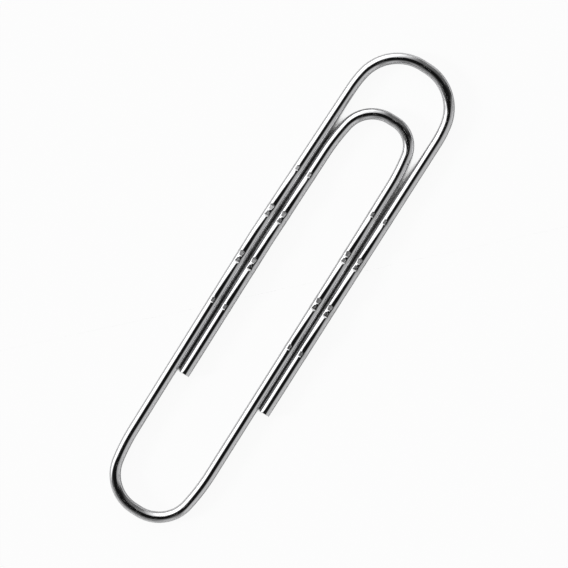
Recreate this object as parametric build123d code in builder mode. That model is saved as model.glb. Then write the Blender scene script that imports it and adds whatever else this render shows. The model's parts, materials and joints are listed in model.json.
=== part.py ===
"""A paper clip: one round steel wire bent into an outer loop and a tongue nested inside it.

The clip lies flat, with +Z up and its long axis along Y. The origin is at the bottom
centre of its box. The wire is kept as separate lengths that meet face to face: the plain
and ridged runs of its four legs, and each of its three bends in two halves. The halves
part at the crest of the bend, where the wire twists when the clip is opened.
"""

import os
from math import atan, cos, degrees, radians, sin, tan

from build123d import *

# Driving dimensions, in millimetres and degrees
WIRE_DIAMETER = 1.05
OVERALL_LENGTH = 50.0
OVERALL_WIDTH = 10.72

# The tongue: how far its crest stands back from the clip's top, and to the right of its middle
TONGUE_SETBACK = 5.77
TONGUE_SKEW = 0.31

# Pressing the ridged row leaves a slight knee in each leg at the middle of the row. These are the
# leans of the leg below and above its knee, to the right as it goes up
OUTER_LEG_LEANS = (-0.75, 0.83)
TONGUE_FREE_LEG_LEANS = (-0.43, 0.49)
TONGUE_LEG_LEANS = (-0.45, -0.74)
OUTER_FREE_LEG_LEANS = (-0.17, -0.06)
KNEE_RUN = 0.60
# Clearance at the knees, of the tongue's free leg from the outer leg and of its joined leg from
# the outer free leg
TONGUE_FREE_GAP = 0.28
TONGUE_GAP = 0.21

# Each bend: a short straight run over its crest, a round turn to each side of it, and a
# slow easing arc into each leg
CREST_RUN = 0.56
CREST_TURN = 80.0
OUTER_EASING_RADIUS = 11.0
END_EASING_RADIUS = 20.0
TONGUE_EASING_RADIUS = 20.0

# The ridged row pressed across the legs, measured from the tongue's crest, and the plain tails
RIDGE_DROP = 7.53
RIDGE_SKEW = 0.7
SINGLE_RIDGE_OFFSET = 7.23
PAIR_RIDGE_OFFSET = 2.55
PAIR_RIDGE_PITCH = 0.74
RIDGE_MARGIN = 0.90
TONGUE_TAIL = 6.4
OUTER_TAIL = 5.6

# Each ridge is a shallow notch with a flat floor, pressed from a little to the left; the wire arches
# up from one pressed place to the next
NOTCH_WIDTH = 0.50
NOTCH_FLOOR = 0.38
NOTCH_DEPTH = 0.03
PRESS_TILT = 12.5
ARCH_RISE = 0.20
PRESS_RADIUS = 4.0
# The sheared ends have a slightly broken edge
CUT_CHAMFER = 0.06

# Levels and lines that follow from the driving dimensions
WIRE_RADIUS = WIRE_DIAMETER / 2
OUTER_CREST_Y = OVERALL_LENGTH / 2 - WIRE_RADIUS
END_CREST_Y = -OUTER_CREST_Y
TONGUE_CREST_Y = OUTER_CREST_Y - TONGUE_SETBACK
RIDGED_LENGTH = 2 * (SINGLE_RIDGE_OFFSET + RIDGE_MARGIN)
RIDGE_ROW_Y = TONGUE_CREST_Y - RIDGE_DROP - RIDGED_LENGTH / 2
OUTER_CUT_OFFSET = RIDGED_LENGTH / 2 + OUTER_TAIL
TONGUE_CUT_OFFSET = RIDGED_LENGTH / 2 + TONGUE_TAIL
SIDE_X = OVERALL_WIDTH / 2 - WIRE_RADIUS
UP = Vector(0, 0, 1)


class Leg:
    """The centreline of a leg: two straight halves, which meet at a knee in the ridged row.

    Its halves are told apart by their side of the knee, -1 below it and 1 above it.
    """

    def __init__(self, knee_x, leans):
        self.knee = Vector(knee_x, RIDGE_ROW_Y + knee_x * tan(radians(RIDGE_SKEW)), WIRE_RADIUS)
        self.leans = dict(zip((-1, 1), leans))

    def slope(self, side):
        """How far a half goes to the right for each millimetre up."""
        return tan(radians(self.leans[side]))

    def way(self, side):
        """The upward direction of a half."""
        return Vector(self.slope(side), 1, 0).normalized()

    def off_knee(self, side, distance):
        """The point of a half at a distance from the knee, with the wire lying on the ground."""
        return self.knee + self.way(side) * side * distance

    def upright_plane(self, side):
        """The upright plane that a half lies in, from the knee, with its X upward along the half."""
        return Plane(self.knee, x_dir=self.way(side), z_dir=self.way(side).cross(UP))

    def x_at(self, y):
        """How far to the right the leg is at height y, with its halves taken as endless lines."""
        side = 1 if y > self.knee.Y else -1
        return self.knee.X + (y - self.knee.Y) * self.slope(side)


class Bend:
    """A bend between two legs. Its crest stands midway between them, but for a skew to the right.

    side is 1 where the crest is above the legs, and -1 where it is below them. The bend's halves
    are told apart by their hand, -1 to the left of the crest and 1 to the right of it.
    """

    def __init__(self, left, right, crest_y, side, easing_radius, skew=0.0):
        self.legs = {-1: left, 1: right}
        crest_x = (left.x_at(crest_y) + right.x_at(crest_y)) / 2 + skew
        self.crest = Vector(crest_x, crest_y, WIRE_RADIUS)
        self.side, self.easing_radius = side, easing_radius

    def last_turn(self, hand):
        """How far a half turns from the crest until it points along its leg."""
        return 90.0 + hand * self.side * self.legs[hand].leans[self.side]

    def radius(self, hand):
        """The round turn that brings a half on to its leg, by way of the easing arc."""
        turn, last_turn = radians(CREST_TURN), radians(self.last_turn(hand))
        leg = self.legs[hand]
        tilt = hand * self.side * leg.slope(self.side)
        span = hand * (leg.x_at(self.crest.Y) - self.crest.X) - CREST_RUN / 2
        span -= self.easing_radius * (sin(last_turn) - sin(turn))
        span -= self.easing_radius * (cos(turn) - cos(last_turn)) * tilt
        return span / (sin(turn) + tilt * (1 - cos(turn)))


def export(piece, name):
    """Label a finished length of wire and write it to its own file."""
    piece.part.label = name
    export_step(piece.part, f"parts/{name}.step")


def half_bend(name, bend, hand):
    """Half of a bend, from its crest to where its leg begins, which is the point returned."""
    turning = -hand * bend.side
    with BuildPart() as half:
        with BuildLine() as route:
            crest = Line(bend.crest, bend.crest + Vector(hand * CREST_RUN / 2, 0, 0))
            round_turn = JernArc(crest @ 1, crest % 1, bend.radius(hand), turning * CREST_TURN)
            easing_turn = turning * (bend.last_turn(hand) - CREST_TURN)
            JernArc(round_turn @ 1, round_turn % 1, bend.easing_radius, easing_turn)
        with BuildSketch(Plane(bend.crest, x_dir=UP, z_dir=crest % 0)):
            Circle(WIRE_RADIUS)
        sweep(path=route.wire())
    export(half, name)
    return route.wire() @ 1


def plain_run(name, low, high, is_cut=False):
    """A straight round length of wire; a sheared lower end has a broken edge."""
    with BuildPart() as run:
        with BuildSketch(Plane(low, x_dir=UP, z_dir=high - low)):
            Circle(WIRE_RADIUS)
        extrude(amount=(high - low).length)
        if is_cut:
            chamfer(run.faces().sort_by(Axis.Y)[0].edges(), length=CUT_CHAMFER)
    export(run, name)


class Arch:
    """An arch of the wire between two pressed places: a round trough, and a rounder top."""

    def __init__(self, half_span):
        slope = 2 * atan(ARCH_RISE / half_span)
        self.slope = degrees(slope)
        self.top_radius = half_span / sin(slope) - PRESS_RADIUS

    def climb(self, last):
        """Goes on from a pressed place to the top."""
        trough = JernArc(last @ 1, last % 1, PRESS_RADIUS, self.slope)
        return JernArc(trough @ 1, trough % 1, self.top_radius, -self.slope)

    def descend(self, last):
        """Goes on from the top to the next pressed place."""
        top = JernArc(last @ 1, last % 1, self.top_radius, -self.slope)
        return JernArc(top @ 1, top % 1, PRESS_RADIUS, self.slope)


def ridged_route(leg):
    """The centreline of a ridged run, over its three arches and round the knee in the middle one."""
    low, high = (leg.off_knee(side, RIDGED_LENGTH / 2) for side in (-1, 1))
    outer_arch = Arch((SINGLE_RIDGE_OFFSET - PAIR_RIDGE_OFFSET) / 2)
    middle_arch = Arch(PAIR_RIDGE_OFFSET - KNEE_RUN / 2)
    knee_turn = leg.leans[-1] - leg.leans[1]
    knee_radius = KNEE_RUN / 2 / tan(radians(abs(knee_turn) / 2))
    with BuildLine(leg.upright_plane(-1)) as lower:
        margin = Line(low, leg.off_knee(-1, SINGLE_RIDGE_OFFSET))
        last = outer_arch.descend(outer_arch.climb(margin))
        last = middle_arch.climb(last)
    with BuildLine(Plane.XY) as knee:
        last = JernArc(last @ 1, last % 1, knee_radius, knee_turn)
    with BuildLine(leg.upright_plane(1)) as upper:
        last = middle_arch.descend(last)
        last = outer_arch.descend(outer_arch.climb(last))
        Line(last @ 1, high)
    return Wire([*lower.edges(), *knee.edges(), *upper.edges()])


def ridged_run(name, leg):
    """A length of wire with its pressed notches, which arches up between the pressed places."""
    pair = (PAIR_RIDGE_OFFSET - PAIR_RIDGE_PITCH / 2, PAIR_RIDGE_OFFSET + PAIR_RIDGE_PITCH / 2)
    notches = (*pair, SINGLE_RIDGE_OFFSET)
    with BuildPart() as run:
        # The seam of the round surface is kept underneath, clear of the notches
        with BuildSketch(Plane(leg.off_knee(-1, RIDGED_LENGTH / 2), x_dir=-UP, z_dir=leg.way(-1))):
            Circle(WIRE_RADIUS)
        sweep(path=ridged_route(leg))
        for side in (-1, 1):
            with BuildSketch(leg.upright_plane(side).rotated((-PRESS_TILT, 0, 0))):
                with Locations([(side * notch, WIRE_RADIUS) for notch in notches]):
                    deep, floor = -NOTCH_DEPTH, NOTCH_FLOOR / 2
                    clear, rim = NOTCH_DEPTH, NOTCH_WIDTH - NOTCH_FLOOR / 2
                    Polygon((-rim, clear), (-floor, deep), (floor, deep), (rim, clear), align=None)
            extrude(amount=WIRE_DIAMETER, both=True, mode=Mode.SUBTRACT)
    export(run, name)


def leg_runs(name, leg, low, high, is_cut=False):
    """A leg from its lower to its upper end: a plain run, the ridged run and a plain run."""
    plain_run(f"{name}_lower", low, leg.off_knee(-1, RIDGED_LENGTH / 2), is_cut)
    ridged_run(f"{name}_ridged", leg)
    plain_run(f"{name}_upper", leg.off_knee(1, RIDGED_LENGTH / 2), high)


os.makedirs("parts", exist_ok=True)

# The legs from left to right. The outer leg's knee and the outer free leg's cut end reach the sides
outer_leg = Leg(-SIDE_X, OUTER_LEG_LEANS)
tongue_free_leg = Leg(outer_leg.knee.X + WIRE_DIAMETER + TONGUE_FREE_GAP, TONGUE_FREE_LEG_LEANS)
outer_free_knee_x = SIDE_X + OUTER_CUT_OFFSET * sin(radians(OUTER_FREE_LEG_LEANS[0]))
outer_free_leg = Leg(outer_free_knee_x, OUTER_FREE_LEG_LEANS)
tongue_leg = Leg(outer_free_leg.knee.X - WIRE_DIAMETER - TONGUE_GAP, TONGUE_LEG_LEANS)

# The end bend, from the outer leg to the tongue's joined leg
end_bend = Bend(outer_leg, tongue_leg, END_CREST_Y, -1, END_EASING_RADIUS)
outer_leg_foot = half_bend("end_bend_outer_half", end_bend, -1)
tongue_leg_foot = half_bend("end_bend_tongue_half", end_bend, 1)

# The outer bend, and the outer free leg that hangs from it beside the tongue
outer_bend = Bend(outer_leg, outer_free_leg, OUTER_CREST_Y, 1, OUTER_EASING_RADIUS)
outer_leg_top = half_bend("outer_bend_fixed_half", outer_bend, -1)
outer_free_top = half_bend("outer_bend_free_half", outer_bend, 1)
outer_cut = outer_free_leg.off_knee(-1, OUTER_CUT_OFFSET)
leg_runs("outer_leg", outer_leg, outer_leg_foot, outer_leg_top)
leg_runs("outer_free_leg", outer_free_leg, outer_cut, outer_free_top, is_cut=True)

# The tongue's bend, and its free leg beside the outer leg
tongue_bend = Bend(tongue_free_leg, tongue_leg, TONGUE_CREST_Y, 1, TONGUE_EASING_RADIUS, TONGUE_SKEW)
tongue_leg_top = half_bend("tongue_bend_fixed_half", tongue_bend, 1)
tongue_free_top = half_bend("tongue_bend_free_half", tongue_bend, -1)
tongue_cut = tongue_free_leg.off_knee(-1, TONGUE_CUT_OFFSET)
leg_runs("tongue_leg", tongue_leg, tongue_leg_foot, tongue_leg_top)
leg_runs("tongue_free_leg", tongue_free_leg, tongue_cut, tongue_free_top, is_cut=True)

# The crests are the axes that the wire twists about
for name, bend in (("outer", outer_bend), ("end", end_bend), ("tongue", tongue_bend)):
    print(f"{name} bend: crest at ({bend.crest.X:.4f}, {bend.crest.Y:.4f})")
    print(f"  round turns of radius {bend.radius(-1):.4f} and {bend.radius(1):.4f}")
for name, cut in (("outer", outer_cut), ("tongue", tongue_cut)):
    print(f"{name} cut end at ({cut.X:.4f}, {cut.Y:.4f})")
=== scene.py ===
"""A studio picture of a ridged paper clip: one bright plated wire, seen from straight above."""

import json
import math

import bpy
import numpy as np
from mathutils import Matrix, Vector, noise


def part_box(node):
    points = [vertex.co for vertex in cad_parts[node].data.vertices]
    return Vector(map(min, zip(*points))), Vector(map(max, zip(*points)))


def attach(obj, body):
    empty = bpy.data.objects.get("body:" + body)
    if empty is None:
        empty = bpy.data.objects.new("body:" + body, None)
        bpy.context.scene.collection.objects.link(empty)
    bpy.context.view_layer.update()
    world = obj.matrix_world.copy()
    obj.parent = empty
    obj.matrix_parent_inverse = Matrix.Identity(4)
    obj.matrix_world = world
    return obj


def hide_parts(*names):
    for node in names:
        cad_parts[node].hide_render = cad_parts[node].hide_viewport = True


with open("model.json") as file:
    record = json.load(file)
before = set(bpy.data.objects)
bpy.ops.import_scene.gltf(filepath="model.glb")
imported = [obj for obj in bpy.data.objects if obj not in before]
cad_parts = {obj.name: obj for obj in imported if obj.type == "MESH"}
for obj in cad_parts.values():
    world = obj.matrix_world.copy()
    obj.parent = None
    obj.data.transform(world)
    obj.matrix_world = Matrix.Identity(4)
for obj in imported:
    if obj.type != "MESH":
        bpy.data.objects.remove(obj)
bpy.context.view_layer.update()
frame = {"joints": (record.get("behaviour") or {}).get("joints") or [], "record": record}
scene = bpy.context.scene

# Lengths are in millimetres and angles in degrees, up to the meshes, which are in metres
MM = 0.001

# The wire's route: what each bend is made of, beside its crest and the legs it runs into
CREST_RUN = 0.56
CREST_TURN = 80.0
OUTER_EASING_RADIUS = 11.0
END_EASING_RADIUS = 20.0
TONGUE_EASING_RADIUS = 20.0

# The leans of each leg below and above its knee, to the right as it goes up, and the knee's length
OUTER_LEG_LEANS = (-0.75, 0.83)
TONGUE_FREE_LEG_LEANS = (-0.43, 0.49)
TONGUE_LEG_LEANS = (-0.45, -0.74)
OUTER_FREE_LEG_LEANS = (-0.17, -0.06)
KNEE_RUN = 0.60

# The ridged row: its pressed places, from its middle, and the round of the wire at each of them
SINGLE_RIDGE_OFFSET = 7.23
PAIR_RIDGE_OFFSET = 2.55
PAIR_RIDGE_PITCH = 0.74
PRESS_RADIUS = 4.0

# A pressed notch: the tilt of the press to the left and how much it strays, the notch's flat floor and
# its two walls, the lip of metal pushed up beside it, which is narrower the higher its power, and how
# far its flanks spread
PRESS_TILT = 12.0
PRESS_STRAY = 2.0
NOTCH_HALF_FLOOR = 0.22
NOTCH_HALF_WIDTH = 0.27
NOTCH_DEPTH = 0.03
NOTCH_SOFTNESS = 0.006
LIP_HEIGHT = 0.004
LIP_REACH = 0.07
LIP_POWER = 4
FLANK_SPREAD = 0.008

# A sheared end: its edge drawn over by the blade on top, its edge below, the slant of its face, and the
# break in it, which fades out upwards at a share of the wire's radius above the middle
TOP_EDGE_ROLL = 0.085
LOW_EDGE_ROLL = 0.035
FACE_SLANT = 0.05
FACE_BREAK = 0.016
FACE_BREAK_SCALE = 5.0
FACE_BREAK_TOP = 0.35

# How finely the wire is divided; the fine steps of a notch go on for a few reaches of its lip
WIRE_SIDES = 96
PLAIN_STEP = 0.40
BEND_STEP = 0.11
ARCH_STEP = 0.14
NOTCH_STEP = 0.02
FINE_LIP_REACHES = 3
EDGE_RINGS = 6
FACE_RINGS = 9
SHARP_ANGLE = 50.0

# The photograph: its side in pixels, its scale on the wire, and the clip's middle and turn in it
PHOTO_SIDE = 568
PHOTO_PIXELS_PER_MM = 10.796
CLIP_MIDDLE_PIXEL = (281.72, 289.17)
CLIP_TURN = 32.63

# The camera: its lens and sensor, which give its distance, and what it sees between, from a share of
# that distance to a far end in metres
LENS = 160.0
SENSOR = 36.0
NEAR_VIEW_SHARE = 0.01
FAR_VIEW = 100.0

# The colours of the metal
PLATING_DARK = (0.68, 0.68, 0.69, 1)
PLATING_LIGHT = (0.75, 0.75, 0.76, 1)
PLATING_WORN = (0.60, 0.60, 0.60, 1)
BARE_STEEL = (0.55, 0.54, 0.53, 1)
BROKEN_STEEL = (0.36, 0.35, 0.34, 1)

# The marks in the metal: how far wear reaches from a notch, and how deep a drawing line is
PRESS_REACH = 0.45
LINE_DEPTH = 0.0008

# How many of each mark there are in a millimetre, or how many across, upwards and along the wire
LINES_PER_MM = 8.0
LINE_RUN = 0.15
BROAD_STREAK = (6.0, 6.0, 0.16)
PLATING_CLOUD = (0.9, 0.9, 0.12)
PLATING_SCUFF = (8.0, 8.0, 0.9)
PLATING_GRAINS_PER_MM = 9.0
BLADE_COMB = (30.0, 1.5, 1.0)
STEEL_GRAINS_PER_MM = 14.0

# Where each mark comes in and where it is full: in its noise, or in millimetres up a cut face
STREAK_RANGE = (0.35, 0.72)
PIT_RANGE = (0.58, 0.72)
RUBBED_RANGE = (0.55, 0.61)
WORN_RANGE = (0.40, 0.62)
BROKEN_RANGE = (0.25, 0.05)

# The roughness of the plating and of cut steel, and what each mark adds to it
PLATING_ROUGHNESS = 0.07
STREAK_ROUGHNESS = 0.04
WORN_ROUGHNESS = 0.15
RUBBED_ROUGHNESS = 0.28
PIT_ROUGHNESS = 0.05
STEEL_ROUGHNESS = 0.28
BROKEN_ROUGHNESS = 0.25

# How high each mark stands, beside the fine drawing lines of the plating or the combing of cut steel
BROAD_HEIGHT = 0.6
WEAR_HEIGHT = 0.8
PIT_HEIGHT = -0.3
BROKEN_HEIGHT = 6.0

# The stage: the floor's half side and its drop below the wire, in metres, and its pale paint. The
# white share is how much of it is plain white instead, as seen straight and as mirrored in the wire
FLOOR_REACH = 3.0
FLOOR_DROP = 0.000002
FLOOR_PALE = (0.70, 0.70, 0.70, 1)
WHITE_SHARE = 0.94
MIRRORED_WHITE_SHARE = 0.12

# The narrow gaps between the legs, where the camera sees the floor darkened by painted shade: how near
# the wire counts, how open to the sky the floor is inside and outside a gap, and its painted shade and
# white share inside
GAP_REACH = 2.0
GAP_SAMPLES = 32
GAP_OPEN = (0.27, 0.40)
GAP_PAINTED_SHADE = (0.03, 0.03, 0.03, 1)
GAP_WHITE_SHARE = 0.006

# The light: a dark hood round the camera, a dim room, and cards of light, each with its strength
# and the soft-edged sides that bound it, as normals along the photograph's right, up and height
HOOD_LIGHT = 0.008
HOOD_EDGE = (0.50, 0.94)
ROOM_LIGHT = 0.04
CARDS = [
    (1.6, [((-0.2, 1.0, -0.40), 0.12), ((-1.0, 0.20, -0.12), 0.35)]),
    (0.35, [((-1.0, 0.40, -0.10), 0.15), ((0.0, 1.0, -0.50), 0.15)]),
    (0.13, [((-0.47, 0.88, -0.15), 0.15), ((0.42, 0.91, -0.35), 0.15)]),
    (0.45, [((0.26, -0.97, -0.10), 0.12), ((0.87, 0.50, 0.0), 0.12), ((1.0, 0.0, -0.62), 0.18)]),
    (0.14, [((0.35, -1.0, -0.90), 0.15), ((0.90, -0.42, 0.0), 0.15)]),
    (0.10, [((-0.5, -0.87, -0.90), 0.20)]),
    (0.25, [((0.0, -1.0, -1.7), 0.30), ((-0.94, 0.34, 0.0), 0.15)]),
    (0.30, [((0.0, -1.0, -1.7), 0.30), ((1.0, 0.0, 0.0), 0.15), ((-0.93, -0.37, 0.0), 0.15)]),
]

# A low sun, whose disc isn't mirrored, but whose shadow on the floor is: where it stands, clockwise
# from the photograph's up, how high it is, how wide, and its strength
SUN_SIDE = -95.0
SUN_HEIGHT = 20.0
SUN_WIDTH = 12.0
SUN_STRENGTH = 3.0


def node_box(name):
    """The lowest and highest corner of a length of wire, in millimetres."""
    low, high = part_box(name)
    return np.array(low) / MM, np.array(high) / MM


def crest_of(joint_name):
    """The crest of a bend, which is where its joint stands, in millimetres."""
    joint = next(j for j in frame["joints"] if j["name"] == joint_name)
    return np.array(joint["pos_m"]) / MM


# What the wire measures, from a plain and a ridged length of it
PLAIN_LOW, PLAIN_HIGH = node_box("outer_leg_lower")
WIRE_RADIUS = (PLAIN_HIGH[2] - PLAIN_LOW[2]) / 2
ARCH_RISE = node_box("outer_leg_ridged")[1][2] - PLAIN_HIGH[2]


class Route:
    """A line of close points in the clip's plane, which grows by straight runs and round turns."""

    def __init__(self, start, heading):
        self.points = [np.array(start[:2], float)]
        self.heading = math.radians(heading)

    def straight(self, length, step):
        """Goes on in a straight line."""
        start = self.points[-1]
        way = np.array([math.cos(self.heading), math.sin(self.heading)])
        count = math.ceil(length / step)
        self.points += [start + way * length * k / count for k in range(1, count + 1)]

    def turn(self, radius, angle, step):
        """Turns left by a positive angle and right by a negative one."""
        angle = math.radians(angle)
        hand = math.copysign(1.0, angle)
        inward = np.array([-math.sin(self.heading), math.cos(self.heading)]) * hand
        centre = self.points[-1] + inward * radius
        count = math.ceil(abs(angle) * radius / step)
        for k in range(1, count + 1):
            heading = self.heading + angle * k / count
            outward = np.array([math.sin(heading), -math.cos(heading)]) * hand
            self.points.append(centre + outward * radius)
        self.heading += angle


class Leg:
    """The middle line of a leg in the clip's plane: two straight halves, which meet at a knee.

    Its halves are told apart by their side of the knee, -1 below it and 1 above it. The knee is
    midway along the leg's ridged length, in line with the middle of its lower plain length.
    """

    def __init__(self, name, leans):
        self.leans = dict(zip((-1, 1), leans))
        plain_low, plain_high = node_box(f"{name}_lower")
        ridged_low, ridged_high = node_box(f"{name}_ridged")
        self.foot_y = plain_low[1] + WIRE_RADIUS * abs(math.sin(math.radians(leans[0])))
        start = (plain_low + plain_high) / 2
        knee_y = (ridged_low[1] + ridged_high[1]) / 2
        self.knee = np.array([start[0] + (knee_y - start[1]) * self.slope(-1), knee_y])

    def slope(self, side):
        """How far a half goes to the right for each millimetre up."""
        return math.tan(math.radians(self.leans[side]))

    def x_at(self, y):
        """How far to the right the leg is at height y, with its halves taken as endless lines."""
        return self.knee[0] + (y - self.knee[1]) * self.slope(1 if y > self.knee[1] else -1)

    def offset_at(self, y):
        """How far along the leg height y is from the knee, counted upwards."""
        lean = math.radians(self.leans[1 if y > self.knee[1] else -1])
        return (y - self.knee[1]) / math.cos(lean)

    def points(self, offsets):
        """The points at the given offsets from the knee, which is rounded over its own length."""
        ways = [np.array([math.sin(math.radians(self.leans[s])), math.cos(math.radians(self.leans[s]))])
                for s in (-1, 1)]
        distance = np.abs(offsets)
        distance += np.clip(KNEE_RUN / 2 - distance, 0, None) ** 2 / KNEE_RUN
        straight, aside = (ways[1] + ways[0]) / 2, (ways[1] - ways[0]) / 2
        return self.knee + np.outer(offsets, straight) + np.outer(distance, aside)


class Bend:
    """A bend of the wire: its crest, and the route of each half from the crest to its leg.

    side is 1 where the crest is above the legs, and -1 where it is below them. The bend's halves
    are told apart by their hand, -1 to the left of the crest and 1 to the right of it.
    """

    def __init__(self, joint_name, left_leg, right_leg, side, easing_radius):
        self.crest = crest_of(joint_name)
        self.side, self.easing_radius = side, easing_radius
        self.left = self.half(-1, left_leg)
        self.right = self.half(1, right_leg)

    def half(self, hand, leg):
        """The points of one half, from the crest to where the leg begins."""
        turning = -hand * self.side
        last_turn = 90.0 + hand * self.side * leg.leans[self.side]
        route = Route(self.crest, 0.0 if hand > 0 else 180.0)
        route.straight(CREST_RUN / 2, BEND_STEP)
        route.turn(self.round_radius(hand, leg, last_turn), turning * CREST_TURN, BEND_STEP)
        route.turn(self.easing_radius, turning * (last_turn - CREST_TURN), BEND_STEP)
        return np.array(route.points)

    def round_radius(self, hand, leg, last_turn):
        """The round turn that brings a half on to its leg, by way of the easing arc."""
        turn, last_turn = math.radians(CREST_TURN), math.radians(last_turn)
        tilt = hand * self.side * leg.slope(self.side)
        span = hand * (leg.x_at(self.crest[1]) - self.crest[0]) - CREST_RUN / 2
        span -= self.easing_radius * (math.sin(last_turn) - math.sin(turn))
        span -= self.easing_radius * (math.cos(turn) - math.cos(last_turn)) * tilt
        return span / (math.sin(turn) + tilt * (1 - math.cos(turn)))


# The pressed places of a leg, from the middle of its row, and the notches at them
PRESSED = [-SINGLE_RIDGE_OFFSET, -PAIR_RIDGE_OFFSET, PAIR_RIDGE_OFFSET, SINGLE_RIDGE_OFFSET]
NOTCHES = [PRESSED[0], PRESSED[-1]]
for place in PRESSED[1:-1]:
    NOTCHES += [place - PAIR_RIDGE_PITCH / 2, place + PAIR_RIDGE_PITCH / 2]


def arch_height(offset):
    """How far the wire arches up at each offset from the knee, which tops the middle arch."""
    height = np.zeros_like(offset)
    for start, finish in zip(PRESSED, PRESSED[1:]):
        level_run = KNEE_RUN if start < 0 < finish else 0.0
        half_span = (finish - start - level_run) / 2
        slope = 2 * math.atan(ARCH_RISE / half_span)
        arch_radius = half_span / math.sin(slope) - PRESS_RADIUS
        from_end = np.minimum(offset - start, finish - offset)
        from_top = np.clip(half_span - from_end, 0, None)
        trough = PRESS_RADIUS - np.sqrt(np.maximum(PRESS_RADIUS**2 - from_end**2, 0))
        crest = ARCH_RISE - arch_radius + np.sqrt(np.maximum(arch_radius**2 - from_top**2, 0))
        arch = np.where(from_end < PRESS_RADIUS * math.sin(slope), trough, crest)
        height = np.where(from_end > 0, arch, height)
    return height


def leg_divisions(low, high):
    """Where a leg is divided, as offsets from its knee: finely at each notch, coarsely elsewhere."""
    cuts = [np.linspace(low, high, math.ceil((high - low) / PLAIN_STEP) + 1)]
    cuts.append(np.arange(PRESSED[0] - PRESS_RADIUS / 2, PRESSED[-1] + PRESS_RADIUS / 2, ARCH_STEP))
    reach = NOTCH_HALF_WIDTH + FINE_LIP_REACHES * LIP_REACH
    cuts += [notch + np.arange(-reach, reach, NOTCH_STEP) for notch in NOTCHES]
    cuts = np.sort(np.concatenate(cuts))
    cuts = cuts[(cuts > low + NOTCH_STEP) & (cuts < high - NOTCH_STEP)]
    spaced = np.diff(cuts, prepend=low) > NOTCH_STEP / 2
    return np.concatenate([[low], cuts[spaced], [high]])


class Wire:
    """The whole wire as rings along its middle line, from the tongue's cut end to the outer one.

    Each ring has its middle point, its distance from the nearest notch, the tilt of the press there,
    and how far it was rubbed in bending.
    """

    def __init__(self):
        self.points, self.notch_gap, self.press_tilt, self.bent = [], [], [], []
        self.breaks = [0]

    def add(self, points, notch_gap, press_tilt, bent):
        """Adds a stretch, which begins at the last ring of the one before."""
        skip = 1 if self.points else 0
        self.points += list(points[skip:])
        self.notch_gap += list(notch_gap[skip:])
        self.press_tilt += list(press_tilt[skip:])
        self.bent += list(bent[skip:])

    def add_half_bend(self, half, from_crest):
        """Adds half a bend; how far it was rubbed in bending eases out towards its leg."""
        level = np.full(len(half), WIRE_RADIUS)
        bent = np.clip(2 - 2 * np.linspace(0, 1, len(half)), 0, 1)
        route = half if from_crest else half[::-1]
        bent = bent if from_crest else bent[::-1]
        far_from_notches = np.full(len(half), PAIR_RIDGE_OFFSET)
        self.add(np.column_stack([route, level]), far_from_notches, np.zeros(len(half)), bent)

    def add_leg(self, leg, start_y, finish_y):
        """Adds a leg, which arches up between the pressed places of its ridged row."""
        ends = leg.offset_at(start_y), leg.offset_at(finish_y)
        offsets = leg_divisions(min(ends), max(ends))
        offsets = offsets if start_y < finish_y else offsets[::-1]
        level = WIRE_RADIUS + arch_height(offsets)
        gaps = np.abs(offsets[:, None] - np.array(NOTCHES))
        strays = [noise.noise(Vector((*leg.knee, notch))) for notch in NOTCHES]
        tilts = PRESS_TILT + PRESS_STRAY * np.array(strays)[gaps.argmin(1)]
        tilts = tilts if start_y < finish_y else -tilts
        points = np.column_stack([leg.points(offsets), level])
        self.add(points, gaps.min(1), tilts, np.zeros(len(offsets)))

    def split(self):
        """Marks the last ring as the place where one body ends and the next begins."""
        self.breaks.append(len(self.points) - 1)

    def is_cut(self, ring):
        """Whether a ring is at one of the wire's two cut ends."""
        return ring in (0, len(self.points) - 1)

    def finish(self):
        """Works out the wire's length, direction and sides at every ring."""
        self.split()
        self.points, self.notch_gap = np.array(self.points), np.array(self.notch_gap)
        self.press_tilt, self.bent = np.array(self.press_tilt), np.array(self.bent)
        steps = np.linalg.norm(np.diff(self.points, axis=0), axis=1)
        self.along = np.concatenate([[0], np.cumsum(steps)])
        tangent = np.gradient(self.points, self.along, axis=0)
        self.tangent = tangent / np.linalg.norm(tangent, axis=1)[:, None]
        side = np.cross(self.tangent, [0, 0, 1])
        self.side = side / np.linalg.norm(side, axis=1)[:, None]
        self.up = np.cross(self.side, self.tangent)
        return self


def wire_route():
    """Follows the wire through its four legs and three bends."""
    tongue_free_leg = Leg("tongue_free_leg", TONGUE_FREE_LEG_LEANS)
    tongue_leg = Leg("tongue_leg", TONGUE_LEG_LEANS)
    outer_leg = Leg("outer_leg", OUTER_LEG_LEANS)
    outer_free_leg = Leg("outer_free_leg", OUTER_FREE_LEG_LEANS)
    tongue = Bend("tongue_bend_twist", tongue_free_leg, tongue_leg, 1, TONGUE_EASING_RADIUS)
    end = Bend("end_bend_twist", outer_leg, tongue_leg, -1, END_EASING_RADIUS)
    outer = Bend("outer_bend_twist", outer_leg, outer_free_leg, 1, OUTER_EASING_RADIUS)

    wire = Wire()
    wire.add_leg(tongue_free_leg, tongue_free_leg.foot_y, tongue.left[-1][1])
    wire.add_half_bend(tongue.left, from_crest=False)
    wire.split()
    wire.add_half_bend(tongue.right, from_crest=True)
    wire.add_leg(tongue_leg, tongue.right[-1][1], end.right[-1][1])
    wire.add_half_bend(end.right, from_crest=False)
    wire.split()
    wire.add_half_bend(end.left, from_crest=True)
    wire.add_leg(outer_leg, end.left[-1][1], outer.left[-1][1])
    wire.add_half_bend(outer.left, from_crest=False)
    wire.split()
    wire.add_half_bend(outer.right, from_crest=True)
    wire.add_leg(outer_free_leg, outer.right[-1][1], outer_free_leg.foot_y)
    return wire.finish()


# The points of a ring: 0 is at the wire's right side, and a quarter of them on is its top
RING_ANGLES = np.arange(WIRE_SIDES) * 2 * math.pi / WIRE_SIDES
ACROSS, UPWARD = np.cos(RING_ANGLES), np.sin(RING_ANGLES)


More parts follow.
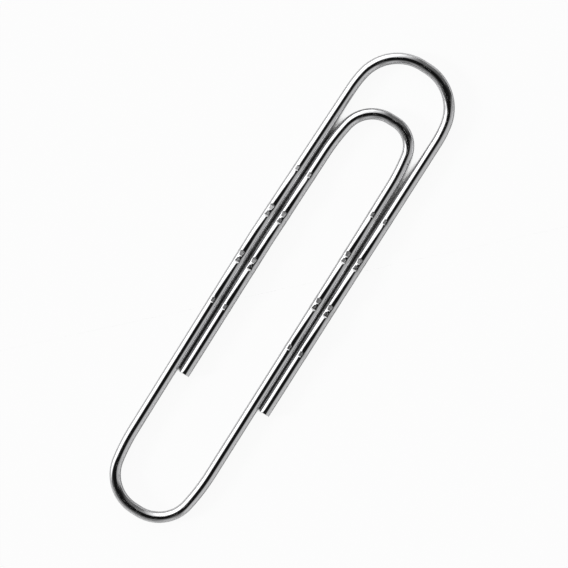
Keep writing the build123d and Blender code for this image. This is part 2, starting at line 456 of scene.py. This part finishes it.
def smooth_min(a, b, softness):
    """The smaller of two values, with a rounded change from one to the other."""
    mix = np.clip(0.5 + 0.5 * (b - a) / softness, 0, 1)
    return b * (1 - mix) + a * mix - softness * mix * (1 - mix)


def wire_rings(wire, first, last):
    """The points of the rings from first to last, with the notches pressed a little from the left."""
    gap = wire.notch_gap[first : last + 1, None]
    rise = wire.points[first : last + 1, 2:] - WIRE_RADIUS
    wall_slope = NOTCH_DEPTH / (NOTCH_HALF_WIDTH - NOTCH_HALF_FLOOR)
    wall = np.clip(gap - NOTCH_HALF_FLOOR, 0, None) * wall_slope
    depth = np.clip(NOTCH_DEPTH + rise - wall, 0, None)
    lip = LIP_HEIGHT * np.exp(-(((gap - NOTCH_HALF_WIDTH - LIP_REACH / 2) / LIP_REACH) ** 2))
    spread = FLANK_SPREAD * np.exp(-((gap / NOTCH_HALF_WIDTH) ** 2))
    tilt = np.radians(wire.press_tilt[first : last + 1, None])
    facing = np.sin(RING_ANGLES - tilt)
    below = WIRE_RADIUS * facing + lip * np.clip(facing, 0, 1) ** LIP_POWER
    pressed = smooth_min(below, WIRE_RADIUS - depth, NOTCH_SOFTNESS)
    below = np.where(depth > 0, pressed, below)
    aside = (WIRE_RADIUS + spread) * np.cos(RING_ANGLES - tilt)
    wide = aside * np.cos(tilt) - below * np.sin(tilt)
    high = aside * np.sin(tilt) + below * np.cos(tilt)
    middle, side, up = (v[first : last + 1, None] for v in (wire.points, wire.side, wire.up))
    return middle + wide[:, :, None] * side + high[:, :, None] * up


def sheared_end(wire, ring, outward):
    """The rings of a cut end, from its drawn-over edge to the middle of its slanting, broken face."""
    roll = LOW_EDGE_ROLL + (TOP_EDGE_ROLL - LOW_EDGE_ROLL) * (0.5 + 0.5 * UPWARD) ** 2
    profile = []
    for k in range(EDGE_RINGS + 1):
        turn = math.pi / 2 * k / EDGE_RINGS
        profile.append((WIRE_RADIUS - roll * (1 - math.cos(turn)), roll * (math.sin(turn) - 1)))
    for k in range(1, FACE_RINGS):
        profile.append(((WIRE_RADIUS - roll) * (1 - k / FACE_RINGS), np.zeros_like(roll)))
    rings = []
    for radius, sunk in profile:
        wide, high = radius * ACROSS, radius * UPWARD
        slant = -FACE_SLANT * (0.5 + 0.5 * high / WIRE_RADIUS)
        broken_part = np.clip(FACE_BREAK_TOP - high / WIRE_RADIUS, 0, 1)
        grain = [noise.noise(Vector((x, y, ring)) * FACE_BREAK_SCALE) for x, y in zip(wide, high)]
        on_face = np.clip((WIRE_RADIUS - radius) / roll, 0, 1)
        depth = sunk + on_face * (slant + FACE_BREAK * broken_part * np.array(grain))
        spot = wire.points[ring] + wide[:, None] * wire.side[ring] + high[:, None] * wire.up[ring]
        rings.append(spot + depth[:, None] * outward * wire.tangent[ring])
    return np.array(rings)


def tube_faces(count):
    """The four-sided faces between the rings of a tube."""
    faces = []
    for ring in range(count - 1):
        for k in range(WIRE_SIDES):
            a, b = ring * WIRE_SIDES + k, ring * WIRE_SIDES + (k + 1) % WIRE_SIDES
            faces.append((a, a + WIRE_SIDES, b + WIRE_SIDES, b))
    return faces


def closing_fan(middle, ring, at_start):
    """The three-sided faces that close a tube at one of its ends."""
    fan = []
    for k in range(WIRE_SIDES):
        a, b = ring * WIRE_SIDES + k, ring * WIRE_SIDES + (k + 1) % WIRE_SIDES
        fan.append((middle, a, b) if at_start else (middle, b, a))
    return fan


def put_values(mesh, name, kind, values):
    """Keeps a value or a vector on every point of a mesh."""
    attribute = mesh.attributes.new(name, kind, "POINT")
    key = "vector" if kind == "FLOAT_VECTOR" else "value"
    attribute.data.foreach_set(key, np.asarray(values, np.float32).ravel())


def piece_rings(wire, first, last):
    """The rings of a length of the wire, its cut ends with them, and the wire's own ring at each."""
    rings = wire_rings(wire, first, last)
    own = np.arange(first, last + 1)
    if wire.is_cut(first):
        end = sheared_end(wire, first, -1)[::-1]
        rings = np.concatenate([end, rings[1:]])
        own = np.concatenate([np.full(len(end), first), own[1:]])
    if wire.is_cut(last):
        end = sheared_end(wire, last, 1)
        rings = np.concatenate([rings[:-1], end])
        own = np.concatenate([own[:-1], np.full(len(end), last)])
    return rings, own


def face_slots(count, is_cut_start, is_cut_finish):
    """The material of each face of a tube and its two fans: 0 is plated wire, 1 is a sheared face."""
    bands = np.zeros(count - 1, int)
    if is_cut_start:
        bands[: FACE_RINGS - 1] = 1
    if is_cut_finish:
        bands[1 - FACE_RINGS :] = 1
    return np.repeat([*bands, bands[0], bands[-1]], WIRE_SIDES)


def keep_lay(mesh, wire, rings, own):
    """Keeps on each point where it lies across, up and along the wire, and how worn the wire is."""
    from_middle = rings - wire.points[own][:, None]
    across = (from_middle * wire.side[own][:, None]).sum(2)
    upward = (from_middle * wire.up[own][:, None]).sum(2)
    along = np.repeat(wire.along[own], WIRE_SIDES).reshape(across.shape)
    lay = np.stack([across, upward, along], axis=2).reshape(-1, 3)
    ends = own[[0, -1]]
    middles = np.column_stack([np.zeros((2, 2)), wire.along[ends]])
    put_values(mesh, "lay", "FLOAT_VECTOR", np.concatenate([lay, middles]))
    ring_values = {"bent": wire.bent, "pressed": np.exp(-((wire.notch_gap / PRESS_REACH) ** 2))}
    for key, values in ring_values.items():
        on_points = np.concatenate([np.repeat(values[own], WIRE_SIDES), values[ends]])
        put_values(mesh, key, "FLOAT", on_points)


def wire_piece(name, wire, first, last, materials):
    """One closed length of the wire, with the lay of its metal kept on its points."""
    rings, own = piece_rings(wire, first, last)
    count = len(rings)
    points = np.concatenate([rings.reshape(-1, 3), rings[[0, -1]].mean(1)])
    faces = tube_faces(count)
    faces += closing_fan(count * WIRE_SIDES, 0, True)
    faces += closing_fan(count * WIRE_SIDES + 1, count - 1, False)
    mesh = bpy.data.meshes.new(name)
    mesh.from_pydata([Vector(point) * MM for point in points], [], faces)
    for material in materials:
        mesh.materials.append(material)
    slots = face_slots(count, wire.is_cut(first), wire.is_cut(last))
    mesh.polygons.foreach_set("material_index", slots)
    mesh.polygons.foreach_set("use_smooth", np.ones(len(faces), bool))
    mesh.set_sharp_from_angle(angle=math.radians(SHARP_ANGLE))
    keep_lay(mesh, wire, rings, own)
    mesh.update()
    piece = bpy.data.objects.new(name, mesh)
    scene.collection.objects.link(piece)
    return piece


class NodeTree:
    """A node tree whose nodes are added with their settings and links in one call."""

    def __init__(self, tree):
        self.tree = tree
        self.tree.nodes.clear()

    def add(self, kind, inputs=None, **settings):
        """Adds a node. An input is a number, a colour or the output socket that feeds it."""
        node = self.tree.nodes.new(kind)
        for key, value in settings.items():
            setattr(node, key, value)
        for key, value in (inputs or {}).items():
            if isinstance(value, bpy.types.NodeSocket):
                self.tree.links.new(value, node.inputs[key])
            else:
                node.inputs[key].default_value = value
        return node

    def math(self, operation, *values):
        """A Math node's result."""
        node = self.add("ShaderNodeMath", dict(enumerate(values)), operation=operation)
        return node.outputs[0]

    def ramp(self, value, low, high, to_low=0.0, to_high=1.0):
        """A value brought smoothly from one range to another, and held at its ends."""
        inputs = {"Value": value, "From Min": low, "From Max": high}
        inputs |= {"To Min": to_low, "To Max": to_high}
        node = self.add("ShaderNodeMapRange", inputs, interpolation_type="SMOOTHSTEP")
        return node.outputs["Result"]

    def stretched(self, vector, scale):
        """A vector with each of its axes scaled."""
        inputs = {"Vector": vector, "Scale": scale}
        return self.add("ShaderNodeMapping", inputs, vector_type="POINT").outputs["Vector"]

    def noise(self, vector, detail, roughness=0.5):
        """Smooth noise, from about 0 to 1."""
        inputs = {"Vector": vector, "Scale": 1.0, "Detail": detail, "Roughness": roughness}
        return self.add("ShaderNodeTexNoise", inputs).outputs["Fac"]

    def attribute(self, name, output="Fac"):
        """A value that is kept on the points of the wire."""
        return self.add("ShaderNodeAttribute", attribute_name=name).outputs[output]


def effect_group(name, inputs, outputs):
    """An empty effect with named inputs and outputs, and its input and output nodes."""
    group = bpy.data.node_groups.new(name, "ShaderNodeTree")
    for label, kind in inputs.items():
        group.interface.new_socket(label, in_out="INPUT", socket_type=kind)
    for label in outputs:
        group.interface.new_socket(label, in_out="OUTPUT", socket_type="NodeSocketFloat")
    web = NodeTree(group)
    return group, web, web.add("NodeGroupInput").outputs


def drawing_lines():
    """Fine lines along the wire, left by the dies it was drawn through."""
    inputs = {"Lay": "NodeSocketVector", "Lines per mm": "NodeSocketFloat"}
    group, web, given = effect_group("Drawing lines", inputs, ["Height", "Streak"])
    combine = {"X": given["Lines per mm"], "Y": given["Lines per mm"], "Z": LINE_RUN}
    fine_scale = web.add("ShaderNodeCombineXYZ", combine).outputs["Vector"]
    fine = web.noise(web.stretched(given["Lay"], fine_scale), detail=2.0)
    broad = web.noise(web.stretched(given["Lay"], BROAD_STREAK), detail=3.0, roughness=0.6)
    height = web.math("MULTIPLY_ADD", broad, BROAD_HEIGHT, fine)
    web.add("NodeGroupOutput", {"Height": height, "Streak": web.ramp(broad, *STREAK_RANGE)})
    return group


def metal_grain():
    """A close grain of tiny pits in the metal."""
    inputs = {"Lay": "NodeSocketVector", "Grains per mm": "NodeSocketFloat"}
    group, web, given = effect_group("Metal grain", inputs, ["Height", "Pits"])
    vector = {"Vector": given["Lay"], "Scale": given["Grains per mm"], "Detail": 4.0}
    grain = web.add("ShaderNodeTexNoise", vector).outputs["Fac"]
    web.add("NodeGroupOutput", {"Height": grain, "Pits": web.ramp(grain, *PIT_RANGE)})
    return group


def new_material(name):
    """A material with nothing in it yet but its tree."""
    material = bpy.data.materials.new(name)
    material.use_nodes = True
    return material, NodeTree(material.node_tree)


def use_group(web, group, **inputs):
    """Puts an effect into a material."""
    named = {key.replace("_", " "): value for key, value in inputs.items()}
    return web.add("ShaderNodeGroup", named, node_tree=group).outputs


def mix_colour(web, share, low, high):
    """One colour going over into another."""
    return web.add("ShaderNodeMix", {0: share, 6: low, 7: high}, data_type="RGBA").outputs[2]


def metal_surface(web, colour, roughness, height):
    """Ends a material as metal, with its marks as a fine bump."""
    bump = web.add("ShaderNodeBump", {"Height": height, "Distance": LINE_DEPTH * MM})
    inputs = {"Base Color": colour, "Metallic": 1.0, "Roughness": roughness}
    inputs["Normal"] = bump.outputs["Normal"]
    shader = web.add("ShaderNodeBsdfPrincipled", inputs)
    web.add("ShaderNodeOutputMaterial", {"Surface": shader.outputs["BSDF"]})


def plated_wire(lines, grain):
    """Bright plated steel: a mirror with faint drawing lines, rubbed at its bends and pressed places."""
    material, web = new_material("Bright plated wire")
    lay = web.attribute("lay", "Vector")
    drawn = use_group(web, lines, Lay=lay, Lines_per_mm=LINES_PER_MM)
    grained = use_group(web, grain, Lay=lay, Grains_per_mm=PLATING_GRAINS_PER_MM)
    cloud = web.noise(web.stretched(lay, PLATING_CLOUD), detail=2.0)
    scuff = web.noise(web.stretched(lay, PLATING_SCUFF), detail=4.0, roughness=0.65)
    rubbed = web.math("MULTIPLY", web.attribute("bent"), web.ramp(scuff, *RUBBED_RANGE))
    worn = web.math("MULTIPLY", web.attribute("pressed"), web.ramp(scuff, *WORN_RANGE))
    wear = web.math("MAXIMUM", rubbed, worn)
    tone = mix_colour(web, cloud, PLATING_DARK, PLATING_LIGHT)
    colour = mix_colour(web, wear, tone, PLATING_WORN)
    roughness = web.math("MULTIPLY_ADD", drawn["Streak"], STREAK_ROUGHNESS, PLATING_ROUGHNESS)
    roughness = web.math("MULTIPLY_ADD", worn, WORN_ROUGHNESS, roughness)
    roughness = web.math("MULTIPLY_ADD", rubbed, RUBBED_ROUGHNESS, roughness)
    roughness = web.math("MULTIPLY_ADD", grained["Pits"], PIT_ROUGHNESS, roughness)
    height = web.math("MULTIPLY_ADD", wear, WEAR_HEIGHT, drawn["Height"])
    height = web.math("MULTIPLY_ADD", grained["Pits"], PIT_HEIGHT, height)
    metal_surface(web, colour, roughness, height)
    return material


def sheared_steel(grain):
    """The bare steel of a cut end: combed by the blade above, broken and grainy below."""
    material, web = new_material("Sheared steel")
    lay = web.attribute("lay", "Vector")
    height_on_face = web.add("ShaderNodeSeparateXYZ", {"Vector": lay}).outputs["Y"]
    broken = web.ramp(height_on_face, *BROKEN_RANGE)
    combed = web.noise(web.stretched(lay, BLADE_COMB), detail=2.0)
    grained = use_group(web, grain, Lay=lay, Grains_per_mm=STEEL_GRAINS_PER_MM)
    colour = mix_colour(web, broken, BARE_STEEL, BROKEN_STEEL)
    roughness = web.math("MULTIPLY_ADD", broken, BROKEN_ROUGHNESS, STEEL_ROUGHNESS)
    broken_grain = web.math("MULTIPLY", broken, grained["Height"])
    height = web.math("MULTIPLY_ADD", broken_grain, BROKEN_HEIGHT, combed)
    metal_surface(web, colour, roughness, height)
    return material


def photo_axes():
    """The photograph's right and up, as directions in the clip's plane."""
    turn = math.radians(CLIP_TURN)
    right = Vector((math.cos(turn), math.sin(turn), 0))
    up = Vector((-math.sin(turn), math.cos(turn), 0))
    return right, up


def photo_camera():
    """A camera straight above the clip, turned and placed as the photograph's was."""
    right, up = photo_axes()
    off_x = (PHOTO_SIDE / 2 - CLIP_MIDDLE_PIXEL[0]) / PHOTO_PIXELS_PER_MM
    off_y = (CLIP_MIDDLE_PIXEL[1] - PHOTO_SIDE / 2) / PHOTO_PIXELS_PER_MM
    distance = PHOTO_SIDE * LENS / SENSOR / PHOTO_PIXELS_PER_MM
    place = (right * off_x + up * off_y + Vector((0, 0, WIRE_RADIUS + distance))) * MM
    data = bpy.data.cameras.new("photo_camera")
    data.lens, data.sensor_width = LENS, SENSOR
    data.clip_start, data.clip_end = distance * MM * NEAR_VIEW_SHARE, FAR_VIEW
    camera = bpy.data.objects.new("photo_camera", data)
    axes = Matrix((right, up, (0, 0, 1))).transposed()
    camera.matrix_world = Matrix.Translation(place) @ axes.to_4x4()
    scene.collection.objects.link(camera)
    scene.camera = camera


def floor_paint():
    """Pale paint, which the camera sees as white, and in the narrow gaps between the legs as dark
    painted shade, not a shadow from the lamps.
    """
    material, web = new_material("Pale floor")
    rays = web.add("ShaderNodeLightPath").outputs
    straight = web.math("ADD", rays["Is Camera Ray"], rays["Is Transmission Ray"])
    mirrored = web.math("MULTIPLY", rays["Is Glossy Ray"], MIRRORED_WHITE_SHARE)
    near = {"Distance": GAP_REACH * MM}
    sky = web.add("ShaderNodeAmbientOcclusion", near, samples=GAP_SAMPLES).outputs["AO"]
    # Painted shade: where the occlusion test finds the floor closed in between the legs, the camera sees
    # it with almost no white and in a dark colour, which is not a shadow cast by the lamps
    white = web.ramp(sky, *GAP_OPEN, GAP_WHITE_SHARE, WHITE_SHARE)
    white = web.math("MULTIPLY_ADD", straight, white, mirrored)
    painted_gap_shade = web.math("MULTIPLY", straight, web.ramp(sky, *GAP_OPEN, 1.0, 0.0))
    colour = mix_colour(web, painted_gap_shade, FLOOR_PALE, GAP_PAINTED_SHADE)
    paint = web.add("ShaderNodeBsdfDiffuse", {"Color": colour})
    glow = web.add("ShaderNodeEmission", {"Color": (1, 1, 1, 1), "Strength": 1.0})
    mixed = web.add("ShaderNodeMixShader", {0: white, 1: paint.outputs[0], 2: glow.outputs[0]})
    web.add("ShaderNodeOutputMaterial", {"Surface": mixed.outputs[0]})
    return material


def pale_floor():
    """A plain pale floor, just under the wire."""
    mesh = bpy.data.meshes.new("floor")
    reach = FLOOR_REACH
    corners = [(-reach, -reach), (reach, -reach), (reach, reach), (-reach, reach)]
    mesh.from_pydata([(x, y, -FLOOR_DROP) for x, y in corners], [], [(0, 1, 2, 3)])
    mesh.materials.append(floor_paint())
    floor = bpy.data.objects.new("floor", mesh)
    scene.collection.objects.link(floor)


def studio_light():
    """A dark room with soft cards of light round the clip, in the photograph's right, up and height."""
    world = bpy.data.worlds.new("studio")
    world.use_nodes = True
    scene.world = world
    web = NodeTree(world.node_tree)
    ray = web.add("ShaderNodeTexCoord").outputs["Generated"]
    turned = {"Vector": ray, "Rotation": (0, 0, -math.radians(CLIP_TURN))}
    direction = web.add("ShaderNodeMapping", turned).outputs["Vector"]
    height = web.add("ShaderNodeSeparateXYZ", {"Vector": direction}).outputs["Z"]
    light = web.ramp(height, *HOOD_EDGE, ROOM_LIGHT, HOOD_LIGHT)
    for strength, sides in CARDS:
        for normal, softness in sides:
            dot = web.add("ShaderNodeVectorMath", {0: direction, 1: normal}, operation="DOT_PRODUCT")
            inside = web.ramp(dot.outputs["Value"], -softness, softness)
            strength = web.math("MULTIPLY", inside, strength)
        light = web.math("ADD", light, strength)
    background = web.add("ShaderNodeBackground", {"Color": light, "Strength": 1.0})
    web.add("ShaderNodeOutputWorld", {"Surface": background.outputs[0]})


def low_sun():
    """A soft sun from the side, which the wire doesn't mirror."""
    data = bpy.data.lights.new("low_sun", "SUN")
    data.energy, data.angle = SUN_STRENGTH, math.radians(SUN_WIDTH)
    right, up = photo_axes()
    side, height = math.radians(SUN_SIDE), math.radians(SUN_HEIGHT)
    level = right * math.sin(side) + up * math.cos(side)
    toward = level * math.cos(height) + Vector((0, 0, math.sin(height)))
    sun = bpy.data.objects.new("low_sun", data)
    sun.rotation_euler = toward.to_track_quat("Z", "Y").to_euler()
    sun.visible_glossy = False
    scene.collection.objects.link(sun)


# The wire's four bodies, in the order in which the wire runs through them
BODIES = ["tongue_free_side", "tongue", "outer_side", "outer_free_side"]

wire = wire_route()
line_effect, grain_effect = drawing_lines(), metal_grain()
finishes = [plated_wire(line_effect, grain_effect), sheared_steel(grain_effect)]
for body, first, last in zip(BODIES, wire.breaks, wire.breaks[1:]):
    piece = wire_piece(f"{body}_wire", wire, first, last, finishes)
    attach(piece, body)
    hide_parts(*frame["record"]["behaviour"]["bodies"][body])

pale_floor()
studio_light()
low_sun()
photo_camera()
scene.view_settings.view_transform = "Standard"
